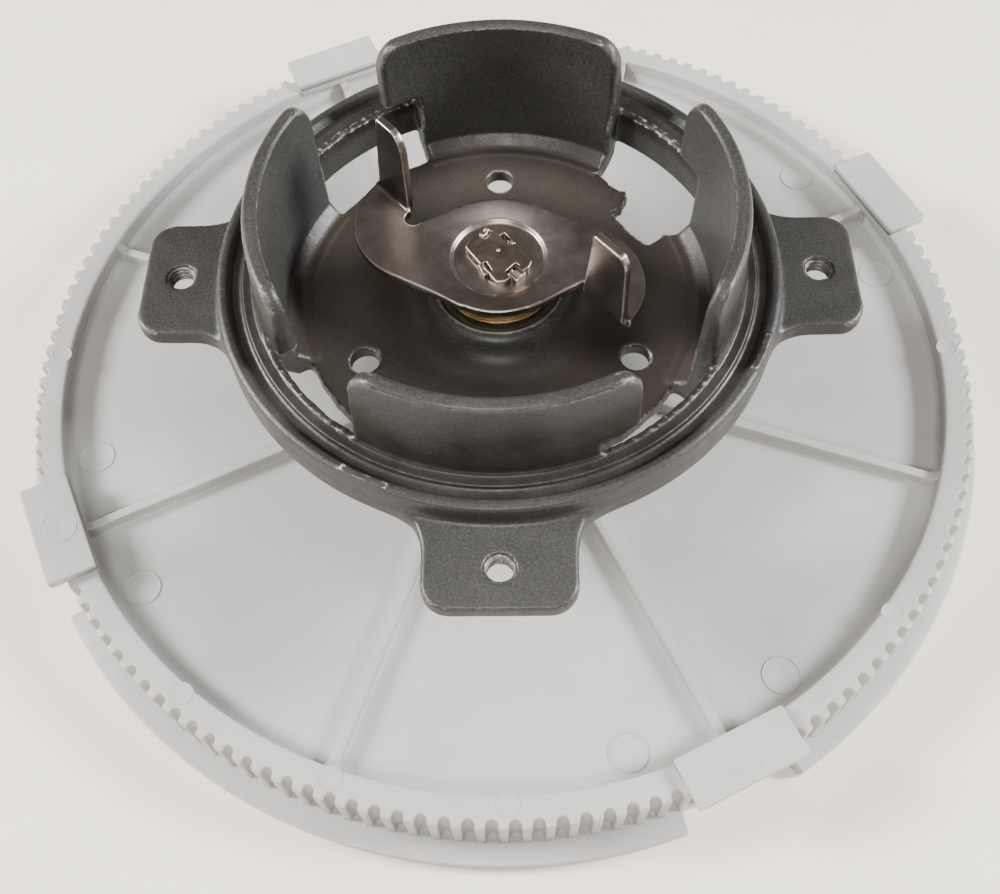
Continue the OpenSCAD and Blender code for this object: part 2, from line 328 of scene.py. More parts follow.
class Paint:
    """A small builder of procedural materials on one Principled shader."""

    def __init__(self, name, color, metallic=0.0, rough=0.5, spec=0.5):
        self.mat = bpy.data.materials.new(name)
        self.mat.use_nodes = True
        self.nt = self.mat.node_tree
        self.bsdf = self.nt.nodes["Principled BSDF"]
        self.bsdf.inputs["Base Color"].default_value = (*color, 1)
        self.bsdf.inputs["Metallic"].default_value = metallic
        self.bsdf.inputs["Roughness"].default_value = rough
        self.bsdf.inputs["Specular IOR Level"].default_value = spec
        self.coord = self.nt.nodes.new("ShaderNodeTexCoord").outputs["Object"]

    def node(self, kind, **inputs):
        n = self.nt.nodes.new("ShaderNode" + kind)
        for k, v in inputs.items():
            if k.startswith("_"):
                setattr(n, k[1:], v)
                continue
            numbered = k[0] == "i" and k[1:].isdigit()
            sock = n.inputs[int(k[1:])] if numbered else n.inputs[k.replace("__", " ")]
            if isinstance(v, bpy.types.NodeSocket):
                self.nt.links.new(v, sock)
            else:
                sock.default_value = v
        return n

    def link(self, out, name):
        self.nt.links.new(out, self.bsdf.inputs[name])

    def noise(self, size_mm, detail=3.0, rough=0.55, stretch=None):
        """Noise with features about size_mm across, from 0 to 1."""
        vec = self.coord
        if stretch:
            vec = self.node("Mapping", Vector=vec, Scale=stretch).outputs[0]
        n = self.node("TexNoise", Vector=vec, Scale=1 / (size_mm * MM), Detail=detail, Roughness=rough)
        return n.outputs["Fac"]

    def ramp(self, fac, a, b, lo=0.0, hi=1.0):
        """fac from a to b becomes lo to hi, clamped."""
        n = self.node("MapRange", Value=fac, From__Min=a, From__Max=b, To__Min=lo, To__Max=hi)
        return n.outputs[0]

    def math(self, op, a, b):
        return self.node("Math", _operation=op, i0=a, i1=b).outputs[0]

    def mix(self, fac, a, b):
        """Colour a to b by fac; a colour is an RGB tuple or a socket."""
        n = self.nt.nodes.new("ShaderNodeMix")
        n.data_type = "RGBA"
        for sock, v in ((n.inputs[0], fac), (n.inputs[6], a), (n.inputs[7], b)):
            if isinstance(v, bpy.types.NodeSocket):
                self.nt.links.new(v, sock)
            else:
                sock.default_value = (*v, 1) if isinstance(v, tuple) else v
        return n.outputs[2]

    def wear(self, a, b):
        """Share from the mesh's convexity: bare edge on convex ranges, painted shade in creases on concave
        ones.
        """
        at = self.node("Attribute", _attribute_name="wear").outputs["Fac"]
        return self.ramp(at, a, b)

    def depth(self):
        """Height above the wheel's resting plane, in metres."""
        return self.node("SeparateXYZ", Vector=self.coord).outputs["Z"]

    def radius(self):
        """Distance from the shaft axis, in metres."""
        flat = self.node("VectorMath", _operation="MULTIPLY", i0=self.coord, i1=(1, 1, 0)).outputs[0]
        return self.node("VectorMath", _operation="LENGTH", i0=flat).outputs["Value"]

    def bump(self, *layers):
        """Bump from (height socket, depth in mm) layers, chained."""
        last = None
        for h, depth in layers:
            n = self.node("Bump", Height=h, Strength=1.0, Distance=depth * MM)
            if last is not None:
                self.nt.links.new(last, n.inputs["Normal"])
            last = n.outputs["Normal"]
        self.nt.links.new(last, self.bsdf.inputs["Normal"])


def plastic_mat():
    p = Paint("moulded_grey_plastic", (0.41, 0.40, 0.387), rough=0.46, spec=0.42)
    big = p.noise(24, 3)
    cloud = p.noise(5, 4)
    speck = p.ramp(p.noise(0.9, 2), 0.70, 0.76)
    tint = p.mix(p.ramp(big, 0.35, 0.65), (0.390, 0.387, 0.377), (0.430, 0.424, 0.411))
    tint = p.mix(p.ramp(cloud, 0.45, 0.75, 0, 0.25), tint, (0.360, 0.352, 0.338))
    tint = p.mix(p.math("MULTIPLY", speck, 0.22), tint, (0.30, 0.28, 0.26))
    edge = p.math("MULTIPLY", p.wear(0.8, 2.2), p.ramp(p.noise(1.6, 3), 0.35, 0.6, 0.1, 0.45))
    tint = p.mix(edge, tint, (0.56, 0.55, 0.535))
    # painted shade: concave creases and fillets (groove bottoms, rim, rib and hub fillets) are darkened to a
    # warm brown in noisy patches
    crease_shade = p.math("MULTIPLY", p.wear(-0.4, -1.4), p.ramp(p.noise(3.0, 3), 0.35, 0.7, 0.2, 0.75))
    tint = p.mix(crease_shade, tint, (0.19, 0.168, 0.148))
    p.link(tint, "Base Color")
    p.link(p.ramp(p.noise(7, 4), 0.3, 0.7, 0.38, 0.50), "Roughness")
    p.bump((p.noise(9, 2), 0.05), (p.noise(0.45, 2), 0.008))
    return p.mat


def casting_mat():
    p = Paint("coated_casting", (0.036, 0.035, 0.033), rough=0.42, spec=0.42)
    grain = p.noise(0.55, 1, 0.5)
    fine = p.noise(0.28, 1, 0.5)
    mid = p.noise(2.6, 4)
    big = p.noise(15, 3)
    tint = p.mix(p.ramp(big, 0.35, 0.65), (0.025, 0.0245, 0.0235), (0.036, 0.0350, 0.0330))
    tint = p.mix(p.ramp(fine, 0.5, 0.72, 0, 0.40), tint, (0.080, 0.077, 0.072))
    tint = p.mix(p.ramp(fine, 0.42, 0.3, 0, 0.6), tint, (0.014, 0.0135, 0.013))
    low = p.ramp(p.depth(), 0.0272, 0.0250)
    dust = p.math("MULTIPLY", low, p.ramp(mid, 0.3, 0.7, 0.4, 0.95))
    tint = p.mix(dust, tint, (0.036, 0.0265, 0.0195))
    ragged = p.ramp(p.noise(1.1, 5, 0.7), 0.42, 0.60)
    # painted shade: the claws' outer faces and the ring's top between radii 31 and 37 mm, 30.5 to 45.5 mm
    # high, are darkened in patches
    claw_and_ring_shade = p.math("MULTIPLY", p.ramp(p.depth(), 0.0455, 0.0400), p.ramp(p.depth(), 0.0305, 0.0318))
    claw_and_ring_shade = p.math("MULTIPLY", claw_and_ring_shade, p.ramp(p.radius(), 0.0310, 0.0316))
    claw_and_ring_shade = p.math("MULTIPLY", claw_and_ring_shade, p.ramp(p.radius(), 0.0372, 0.0366))
    claw_and_ring_shade = p.math("MULTIPLY", claw_and_ring_shade, p.ramp(p.noise(7, 3), 0.36, 0.58, 0.45, 0.95))
    tint = p.mix(claw_and_ring_shade, tint, (0.0125, 0.0098, 0.0075))
    chips = p.math("MULTIPLY", p.wear(0.45, 1.1), ragged)
    patch = p.ramp(p.noise(6, 3), 0.38, 0.62, 0.25, 1.0)
    line = p.math("MULTIPLY", p.wear(0.85, 1.7), patch)
    bare = p.math("MAXIMUM", p.math("MULTIPLY", chips, patch), line)
    nick = p.ramp(p.noise(1.5, 6, 0.7), 0.75, 0.775, 0, 0.7)
    bare = p.math("MAXIMUM", bare, nick)
    tint = p.mix(bare, tint, (0.50, 0.47, 0.435))
    p.link(tint, "Base Color")
    p.link(p.math("MULTIPLY", bare, 0.55), "Metallic")
    p.link(p.ramp(mid, 0.3, 0.7, 0.36, 0.48), "Roughness")
    p.bump((mid, 0.012), (grain, 0.030), (fine, 0.018))
    return p.mat


def steel_mat(name, dark, light, rough, lay=0.0, grain=0.3, bumps=0.006):
    """Bare metal, blotched from dark to light; lay is the depth of its turning marks in mm."""
    p = Paint(name, light, metallic=1.0, rough=0.3)
    big = p.noise(6, 4)
    fine = p.noise(grain, 2)
    tint = p.mix(p.ramp(big, 0.32, 0.68), dark, light)
    tint = p.mix(p.ramp(fine, 0.5, 0.78, 0, 0.30), tint, tuple(0.5 * c for c in dark))
    edge = p.math("MULTIPLY", p.wear(0.7, 1.9), p.ramp(p.noise(2.0, 3), 0.35, 0.6, 0.45, 1.0))
    tint = p.mix(edge, tint, tuple(min(0.8, 2.1 * c) for c in light))
    p.link(tint, "Base Color")
    dull = p.ramp(p.noise(2.2, 5, 0.65), 0.3, 0.72, *rough)
    p.link(p.math("ADD", dull, p.math("MULTIPLY", edge, 0.10)), "Roughness")
    layers = [(p.noise(5, 2), 0.02), (fine, bumps)]
    if lay:
        layers.append((p.noise(0.6, 3, 0.6, stretch=(1.0, 0.08, 0.3)), lay))
    p.bump(*layers)
    return p.mat


PLASTIC = plastic_mat()
CAST = casting_mat()
COUPLING = steel_mat("burnished_sheet_steel", (0.205, 0.176, 0.155), (0.310, 0.278, 0.254),
                     (0.28, 0.38), grain=0.35, bumps=0.002)
SHAFT = steel_mat("turned_shaft_steel", (0.165, 0.132, 0.105), (0.27, 0.225, 0.185), (0.26, 0.42))
ZINC = steel_mat("zinc_plated_steel", (0.46, 0.46, 0.45), (0.60, 0.60, 0.59), (0.25, 0.4), lay=0.004)
SPRING = steel_mat("blued_spring_steel", (0.05, 0.055, 0.065), (0.12, 0.125, 0.135), (0.28, 0.42), lay=0.004)
BRONZE = steel_mat("oiled_sintered_bronze", (0.24, 0.165, 0.095), (0.48, 0.36, 0.23),
                   (0.34, 0.5), grain=0.22, bumps=0.010)
BRONZE_WASHER = steel_mat("bronze_washer", (0.52, 0.40, 0.22), (0.74, 0.60, 0.38),
                          (0.30, 0.46), grain=0.25, bumps=0.010)
DARK_STEEL = steel_mat("oiled_dark_steel", (0.085, 0.075, 0.065), (0.18, 0.165, 0.15),
                       (0.25, 0.42), lay=0.003)

# ---------------------------------------------------------------- pan socket casting


FLOOR_LOW, FLOOR_TOP = 22.4, 24.8
EAR_LOW, EAR_TOP, EAR_SCREW_AT = 27.2, 30.0, 44.5
CLAW_TOP, CLAW_MID = 46.65, 31.4  # height of the claws' ends, and middle radius of their walls
TUBE_LOW, TUBE_R, BORE_R, SEAT_R = 12.3, 9.95, 6.0, 8.9


def thread_sleeve(crest_r=1.66, root_r=2.0, pitch=0.7, cols=48, rows=36):
    """Thread turns of the ear hole on +X, as a closed sleeve, with the wear of its crests."""
    A, Z = np.meshgrid(np.arange(cols) * 2 * math.pi / cols, np.linspace(27.25, 29.72, rows))
    turn = (Z / pitch - A / (2 * math.pi)) % 1.0
    R = crest_r + (root_r - crest_r) * np.clip(np.abs(turn * 2 - 1) * 1.4 - 0.2, 0, 1)

    def with_ends(mid, first, last, back):
        first, last, back = (np.full((1, cols), end) for end in (first, last, back))
        return np.concatenate([first, mid, last, back])

    R = with_ends(R, 2.45, 2.08, 2.45)
    Z = with_ends(Z, 27.5, 29.78, 29.5)
    A = np.concatenate([A[:1], A, A[:2]])
    P = np.stack([EAR_SCREW_AT + R * np.cos(A), R * np.sin(A), Z], -1).reshape(-1, 3)
    return P, grid_quads(rows + 3, cols, close_rows=True), np.where(R.ravel() < 1.85, 1.3, 0.2)


def pan_socket():
    radii = spans((5.6, 11.5, 0.24), (11.5, 27.0, 0.4), (27.0, 39.0, 0.17), (39.0, 50.4, 0.38))
    heights = spans((11.9, 22.0, 0.6), (22.0, 27.0, 0.24), (27.0, 34.2, 0.17), (34.2, 47.2, 0.3))
    axes, r, t, z = polar_grid(radii, 760, heights)
    x, y = r * np.cos(t), r * np.sin(t)
    rz_r, rz_z = r[:, 0, :], z[0, :, :]

    def lift(a):
        return a[:, None, :]

    # floor, boss and housing tube, all turned about the axis
    ragged = 0.16 * wobble(x, y, 0, 5.0, 1) + 0.07 * wobble(x, y, 0, 1.7, 2)
    floor = si(np.maximum(FLOOR_LOW - z, z - FLOOR_TOP), r - 28.35 - ragged, 0.5)
    tube = si(np.maximum(TUBE_LOW - z, z - 28.2), r - TUBE_R, 1.5)
    core = su(floor, tube, 6.0)
    core = np.where(z < 24.0, su(floor, tube, 1.5), core)

    # floor opening that was broken out wider than its neighbours
    broken = [(15.1, 24.4), (15.3, 23.3), (16.8, 20.8), (19.1, 19.3), (19.35, 18.3), (18.3, 16.4),
              (16.8, 15.2), (18.6, 12.6), (20.6, 9.9), (22.2, 9.1), (23.4, 10.2), (24.5, 11.3),
              (25.5, 10.6), (27.4, 10.2), (30, 12), (30, 20), (22, 26)]
    hole = poly_sd(x[:, :, 0], y[:, :, 0], broken)[:, :, None]
    hole = hole + 0.22 * wobble(x, y, 0, 1.5, 5) + 0.12 * wobble(x, y, z, 0.9, 6)
    core = si(core, -hole, 0.5)

    # ring with outer bead, groove and inner step
    outline = [(32.7, 27.3), (38.0, 27.3), (38.6, 27.9), (38.6, 32.9), (38.35, 33.4), (37.8, 33.6),
               (37.2, 33.45), (36.75, 32.9), (36.45, 32.45), (35.6, 32.4), (35.25, 32.6), (35.05, 33.05),
               (34.3, 32.98), (33.75, 33.0), (33.55, 33.2), (33.2, 33.15), (32.7, 32.8)]
    ring = lift(poly_sd(rz_r, rz_z, outline))
    rough = 0.10 * wobble(x, y, 0, 2.3, 3) + 0.06 * wobble(x, y, 0, 1.1, 13)
    ring = ring + rough * np.clip((z - 31.8) / 0.8, 0, 1) * np.clip((33.9 - r) / 0.5, 0.12, 1)

    # raised scraps of metal on the bead
    az = np.degrees(t)
    for a0, a1, h in ((239, 249, 0.55), (330, 339, 0.5)):
        along = (np.abs(az - (a0 + a1) / 2) - (a1 - a0) / 2) * 0.66
        top = 33.5 + h * (0.75 + 0.25 * wobble(x, y, 0, 1.8, 12))
        piece = si(np.maximum(np.abs(r - 37.75) - 0.42, z - top), along, 0.3)
        ring = su(ring, np.maximum(piece, 31 - z), 0.45)

    # four ears with blends into the ring
    ears = screws = None
    for k in range(4):
        c, s = math.cos(k * math.pi / 2), math.sin(k * math.pi / 2)
        lx, ly = (x * c + y * s)[:, :, 0], (-x * s + y * c)[:, :, 0]
        plan = box_sd(lx, ly, 30.0, 49.8, -9.6, 9.6, 3.6)
        plan = su(plan, np.hypot(lx, ly) - 38.0, 6.0)
        plan = np.maximum(plan, 20.0 - lx)
        screw = (np.hypot(lx - EAR_SCREW_AT, ly) - 2.04)[:, :, None]
        screws = screw if screws is None else np.minimum(screws, screw)
        plan = plan + 0.05 * wobble(lx, ly, 0, 6.0, 7 + k)
        plan = np.maximum(plan, 34.2 - np.hypot(lx, ly))[:, :, None]
        ears = plan if ears is None else np.minimum(ears, plan)
    ears = si(ears, np.maximum(EAR_LOW - z, z - EAR_TOP) + 0.02 * wobble(x, y, 0, 5.0, 4), 0.75)
    ears = si(ears, -screws, 0.12)
    body = su(ring, ears, 1.3)

    # claws: upright walls whose counter-clockwise end overhangs an opening
    outline = [(27.2, FLOOR_LOW), (30.6, FLOOR_LOW), (33.0, 24.6), (33.4, 27.0), (33.4, 32.8),
               (32.35, 46.0), (31.95, 46.6), (30.75, 46.6), (30.35, 46.0), (29.95, 26.7),
               (28.1, FLOOR_TOP), (27.2, FLOOR_TOP)]
    section = lift(poly_sd(rz_r, rz_z, outline)) + 0.03 * wobble(x, y, z, 14.0, 8)
    start, stop, wall_stop = -18.36, 17.8, 12.33  # along the arc, from the claw's middle
    for k in range(4):
        phi = (t - k * math.pi / 2 + math.pi) % (2 * math.pi) - math.pi
        along = phi * CLAW_MID + 0.12 * wobble(x, y, z, 3.4, 9 + k)
        upper = box_sd(along, z, start, stop, 35.6, CLAW_TOP, 0.3)
        corner = box_sd(along, z, start, stop, 15.0, CLAW_TOP, 4.3)
        wall = box_sd(along, z, start, wall_stop, 10.0, CLAW_TOP, 0.3)
        face = si(su(upper, wall, 1.2), corner, 0.4)
        body = su(body, si(section, face, 0.9), 0.7)
    body = su(body, core, 0.8)
    body = np.where(r < 27.0, core, body)

    # bores, bush seat and floor holes
    def off_axis(radius, degrees):
        a = math.radians(degrees)
        return np.hypot(x - radius * math.cos(a), y - radius * math.sin(a))

    body = si(body, BORE_R - r, 0.3)
    body = si(body, -np.maximum(r - SEAT_R, 27.4 - z), 0.25)
    for k in range(3):
        d = off_axis(21.7, 90 + 120 * k) - 2.0 + 0.05 * wobble(x, y, z, 1.5, 20 + k)
        body = si(body, -d, 0.55)

    # round witness line of an ejector pin
    pin = np.abs(off_axis(24.7, 53) - 2.9)
    body = body + 0.10 * np.exp(-((pin / 0.22) ** 2)) * (z > 24) * (r < 28)
    v, q = surface_nets(body, axes, wrap=True)
    v = from_polar(v)
    w = curvature(v, q, 1)

    # thread turns in the ear holes
    P, Q, crest = thread_sleeve()
    V, Q = shells([(v, q)] + [outward(turned(P, 90 * k), Q) for k in range(4)])
    wear = np.concatenate([w] + [crest] * 4)
    make("pan_socket_casting", V, Q, CAST, "socket", "pan_socket", wear)


# ---------------------------------------------------------------- toothed wheel

TEETH, TIP, RIM_IN, FLANGE = 150, 71.24, 67.0, 74.2
RIM_Z, FLANGE_Z, WEB_Z, WEB_T, RIB_H, RIB_W = 10.8, 2.4, 7.5, 2.5, 1.8, 1.45


def tooth_loop(land, groove):
    """One pitch of the rim as (tangential, depth, land share).

    The land is set back by land and the groove is opened by groove."""
    rad, corner = 0.85 + groove, 0.26
    centre = 0.43  # depth of the groove's centre
    half_pitch = 1.492
    first = math.asin(max(0.0, land + corner - centre) / rad)
    cx = -rad * math.cos(first) - corner
    half = [(-half_pitch, -land, 1.0), ((cx - half_pitch) / 2, -land, 1.0)]
    for k in range(5):
        a = math.radians(90 - 22.5 * k)
        half.append((cx + corner * math.cos(a), -land - corner + corner * math.sin(a), 1 - k / 4))
    for k in range(1, 6):
        a = first + (math.pi / 2 - first) * k / 6
        half.append((-rad * math.cos(a), -centre - rad * math.sin(a), 0.0))
    return half + [(0, -centre - rad, 0.0)] + [(-u, d, w) for u, d, w in half[:0:-1]]


def rim_shell():
    """Rim with belt grooves, bottom flange and rounded edges, as one closed band of loops."""
    def around(tooth):
        u, d, w = (np.tile([t[k] for t in tooth], TEETH) for k in range(3))
        base = np.radians(360 / TEETH * np.repeat(np.arange(TEETH), len(tooth)))
        return base + np.arctan2(u, TIP + d), np.hypot(u, TIP + d), w

    ang, out, _ = around(tooth_loop(0, 0))
    rel = (np.degrees(ang) - TAB_ANGLE + 45) % 90 - 45
    gap = np.abs(FLANGE * np.sin(np.radians(rel))) < 8.6
    fl = np.where(gap, TIP, FLANGE)

    def circle(rad, z):
        rad = np.broadcast_to(rad, ang.shape)
        return np.stack([rad * np.cos(ang), rad * np.sin(ang), np.full(len(ang), z)], 1)

    def band(az, rad, z):
        return np.stack([rad * np.cos(az), rad * np.sin(az), np.broadcast_to(z, az.shape)], 1)

    # underside, flange, then up the teeth
    loops = [circle(RIM_IN, 4.0), circle(RIM_IN, 0.3), circle(RIM_IN + 0.09, 0.09),
             circle(RIM_IN + 0.3, 0.0), circle(69.0, 0.0)]
    loops += [circle(fl - 0.3, 0.0), circle(fl - 0.09, 0.09), circle(fl, 0.3),
              circle(fl, FLANGE_Z - 0.3), circle(np.maximum(fl - 0.08, out), FLANGE_Z - 0.08),
              circle(np.maximum(fl - 0.3, out), FLANGE_Z),
              circle(np.where(gap, out, TIP + 0.25), FLANGE_Z)]
    loops += [band(ang, np.where(gap, out, out + 0.12), FLANGE_Z), band(ang, out, FLANGE_Z + 0.12)]
    loops += [band(ang, out, z) for z in (3.2, 6.5, RIM_Z - 0.62)]

    # rolled-over tops of the lands, then the rim's top and inner wall
    land_r, groove_r = 0.58, 0.16
    for deg in (25, 45, 65, 90):
        c, s = 1 - math.cos(math.radians(deg)), 1 - math.sin(math.radians(deg))
        az, rad, w = around(tooth_loop(land_r * c, groove_r * c))
        loops.append(band(az, rad, RIM_Z - s * (groove_r + (land_r - groove_r) * w)))
    az, rad, w = around(tooth_loop(land_r + 0.1, groove_r + 0.1))
    loops.append(band(az, rad, RIM_Z))
    loops += [circle(69.3, RIM_Z), circle(68.2, RIM_Z), circle(RIM_IN + 0.4, RIM_Z),
              circle(RIM_IN + 0.15, RIM_Z - 0.06), circle(RIM_IN + 0.03, RIM_Z - 0.2),
              circle(RIM_IN, RIM_Z - 0.42), circle(RIM_IN, 7.0)]
    return outward(np.concatenate(loops), grid_quads(len(loops), len(ang), close_rows=True))


def web_shell():
    """Web with eight ribs, filleted into rim, ribs and hub."""
    # half a rib as (distance from its middle, share of its height), for a width of 1.8
    across = [(0.0, 1.0), (0.5, 1.0), (0.70, 0.99), (0.81, 0.955), (0.87, 0.88), (0.9, 0.78),
              (0.95, 0.22), (0.99, 0.12), (1.07, 0.04), (1.22, 0.0)]
    right = [(d * RIB_W / 1.8, h) for d, h in across]
    strip = [(-d, h) for d, h in right[:0:-1]] + right
    radii = list(spans((12.6, 14.2, 0.2), (14.2, 64.8, 2.0), (64.8, 67.5, 0.15)))
    fill = 10  # steps between ribs
    fillet, hub_edge = 0.9, 13.9

    def rise(depth, rad):
        """Height of a fillet of radius rad, depth into it."""
        return rad - math.sqrt(max(0.0, rad**2 - min(max(0.0, depth), rad) ** 2))

    rows = []
    for rad in radii:
        loop = []
        edge_rise = max(rise(rad - (RIM_IN - fillet), fillet), rise(hub_edge - rad, fillet))
        end_rise = rise(rad - (RIM_IN - 1.7), 1.7)
        for k in range(8):
            a = math.radians(TAB_ANGLE + 45 * k)
            last = math.asin(strip[-1][0] / rad)
            for d, h in strip:
                top = RIB_H + min(end_rise, RIM_Z - WEB_Z - RIB_H - 0.25)
                hh = max(h * top, edge_rise)
                al = a + math.asin(d / rad)
                loop.append((rad * math.cos(al), rad * math.sin(al), WEB_Z + hh))
            for j in range(1, fill):
                al = a + last + (math.radians(45) - 2 * last) * j / fill
                loop.append((rad * math.cos(al), rad * math.sin(al), WEB_Z + edge_rise))
        rows.append(loop)
    cols = len(rows[0])
    top = np.array(rows)
    low = top.copy()
    low[:, :, 2] = WEB_Z - WEB_T
    for i, rad in enumerate(radii):
        low[i, :, 2] -= rise(rad - (RIM_IN - fillet), fillet)
    V = np.concatenate([top, low[::-1]]).reshape(-1, 3)
    return outward(V, grid_quads(len(radii) * 2, cols, close_rows=True))


def hub_shell():
    """Plastic hub round the hexagonal steel insert."""
    count = 96
    th = np.arange(count) * 2 * math.pi / count
    hexa = 8.5 * math.cos(math.pi / 6) / np.cos((th % (math.pi / 3)) - math.pi / 6)
    loops = []
    for rad, z in ((13.0, 2.6), (12.9, 2.32), (12.6, 2.2), (10.5, 2.2), (None, 2.2), (None, 10.1),
                   (10.5, 10.1), (12.6, 10.1), (12.9, 9.98), (13.0, 9.7)):
        R = hexa if rad is None else np.full(count, rad)
        loops.append(np.stack([R * np.cos(th), R * np.sin(th), np.full(count, z)], 1))
    return outward(np.concatenate(loops), grid_quads(len(loops), count, close_rows=True))


def pin_mark(rad, az, radius, z, height=0.14, line=0.16):
    """Shallow round witness mark of an ejector pin: a fine raised line round a level disc."""
    inner = radius - line
    v, q = lathe([(0.02, z - 0.3), (radius + 0.04, z - 0.3), (radius, z + height), (inner, z + height),
                  (inner - 0.05, z + 0.012), (0.02, z + 0.012)], 0.05, 48)
    a = math.radians(az)
    return v + np.array([rad * math.cos(a), rad * math.sin(a), 0]), q


def toothed_pulley():
    parts = [rim_shell(), web_shell(), hub_shell()]
    # belt guard tabs with their marks, and a pair of marks on the web by each
    for k in range(4):
        a = TAB_ANGLE + 90 * k
        parts.append(rounded_box(66.2, 73.1, -8, 8, RIM_Z - 0.05, RIM_Z + 1.4, 0.15, a))
        parts.append(rounded_box(66.2, 69.1, -8, 8, RIM_Z - 1.0, RIM_Z + 0.9, 0.15, a))
        parts.append(pin_mark(69.35, a, 2.6, RIM_Z + 1.4, 0.06, 0.12))
        for s in (-10.7, 10.7):
            parts.append(pin_mark(63.2, a + s, 2.65, WEB_Z))
    for az in (-108.65, -89.5, -128.2, -39.6, -0.5, 179.8):
        parts.append(pin_mark(68.3, az, 1.55, RIM_Z, 0.07, 0.12))
    V, Q = shells(parts)
    make("toothed_wheel", V, Q, PLASTIC, "rotor", "toothed_pulley", curvature(V, Q, 1))


# ---------------------------------------------------------------- coupling and shaft


BEND_C, BEND_S = math.cos(math.radians(11.3)), math.sin(math.radians(11.3))


def drive_coupling():
    """Stamped S-shaped plate: two arms, a dished middle and two upright blades."""
    U, W = spans((-21.5, 21.5, 0.17)), spans((-17.0, 17.0, 0.17))
    H = spans((31.4, 35.6, 0.13), (35.6, 47.2, 0.22))
    u, w, z = (a.astype(np.float32) for a in (U[:, None, None], W[None, :, None], H[None, None, :]))
    flat_u, flat_w = u[:, :, 0], w[:, :, 0]
    plan = None
    rad = np.hypot(flat_u, flat_w)
    for s, fold0 in ((1, -4.3), (-1, -5.1)):
        a, b = flat_u * s, flat_w * s
        c = np.array([-9.74 if s == 1 else -9.1, -5.46])
        arm = np.maximum(np.hypot(a - c[0], b - c[1]) - 10.4, b + 4.0)
        n = np.array([-c[1], c[0]]) / np.hypot(*c)
        arm = np.minimum(arm, poly_sd(a, b, [c, c + 10.4 * n, 9.9 * n, (0, 0)]))
        arm = np.minimum(arm, poly_sd(a, b, [(-10.1, -9), (-10.1, -1.6), (-9.7, 1), (0, 0), (0, -9)]))
        fold = -a * BEND_S + b * BEND_C
        arm = np.maximum(arm, -np.maximum(a + 10.1, fold0 - fold))
        arm = si(arm, -(np.hypot(a + 11.4, b + 7.0) - 1.25), 0.2)
        plan = arm if plan is None else np.minimum(plan, arm)
    plan = su(plan, rad - 9.9, 0.8)[:, :, None]
    r = rad[:, :, None]
    step = np.clip((r - 6.1) / 0.55, 0, 1)
    flare = 1 - np.clip((r - 6.4) / 5.2, 0, 1)
    mid = 32.45 + 0.42 * step * step * (3 - 2 * step) + 0.88 * (1 - flare * flare) * (r > 6.4)
    mid = mid + 0.10 * np.clip((r - 10) / 8, 0, 1) * wobble(u, w, 0, 16, 2)
    body = si(plan, np.abs(z - mid) * 0.96 - 0.60, 0.22)
    # upright blades: outline along the fold and up, distance of the base, lean at the top
    left = [(-20.95, 32.0), (-20.15, 46.5), (-19.85, 46.8), (-16.9, 46.8), (-16.1, 46.45),
            (-15.45, 45.7), (-14.95, 44.6), (-14.75, 43.6), (-14.0, 33.0), (-14.0, 32.0)]
    right = [(-19.75, 32.0), (-19.45, 45.0), (-19.2, 45.8), (-18.5, 46.65), (-18.1, 46.8),
             (-13.9, 46.8), (-13.5, 46.4), (-12.3, 34.0), (-12.2, 32.0)]
    for s, outline, base, lean in ((1, left, -3.72, 0.55), (-1, right, -4.6, 0.15)):
        a, b = u * s, w * s
        along, off = a * BEND_C + b * BEND_S, -a * BEND_S + b * BEND_C
        face = poly_sd(along, z + 0 * along, outline)
        slab = np.abs(off - base - lean * np.clip((z - 34) / 12.5, 0, 1)) - 0.6
        blade = si(si(face, slab, 0.3), 33.05 - z, 0.3)
        heel = si(off - base - 0.6, 33.1 - z, 2.2)
        blade = np.maximum(blade, np.where(z < 36, heel, -9))
        body = su(body, blade, 0.8)
    # opening for the shaft's flattened end
    c, s = math.cos(math.radians(5)), math.sin(math.radians(5))
    fu, fw = u * c + w * s, -u * s + w * c
    slot = np.maximum(np.abs(fw) - 2.97, np.hypot(fu, fw) - 4.02)
    body = si(body, -slot, 0.2)
    v, q = surface_nets(body, (U, W, H))
    make("drive_coupling_stamping", turned(v, BLADE_ANGLE), q, COUPLING, "rotor", "drive_coupling",
         curvature(v, q, 3))


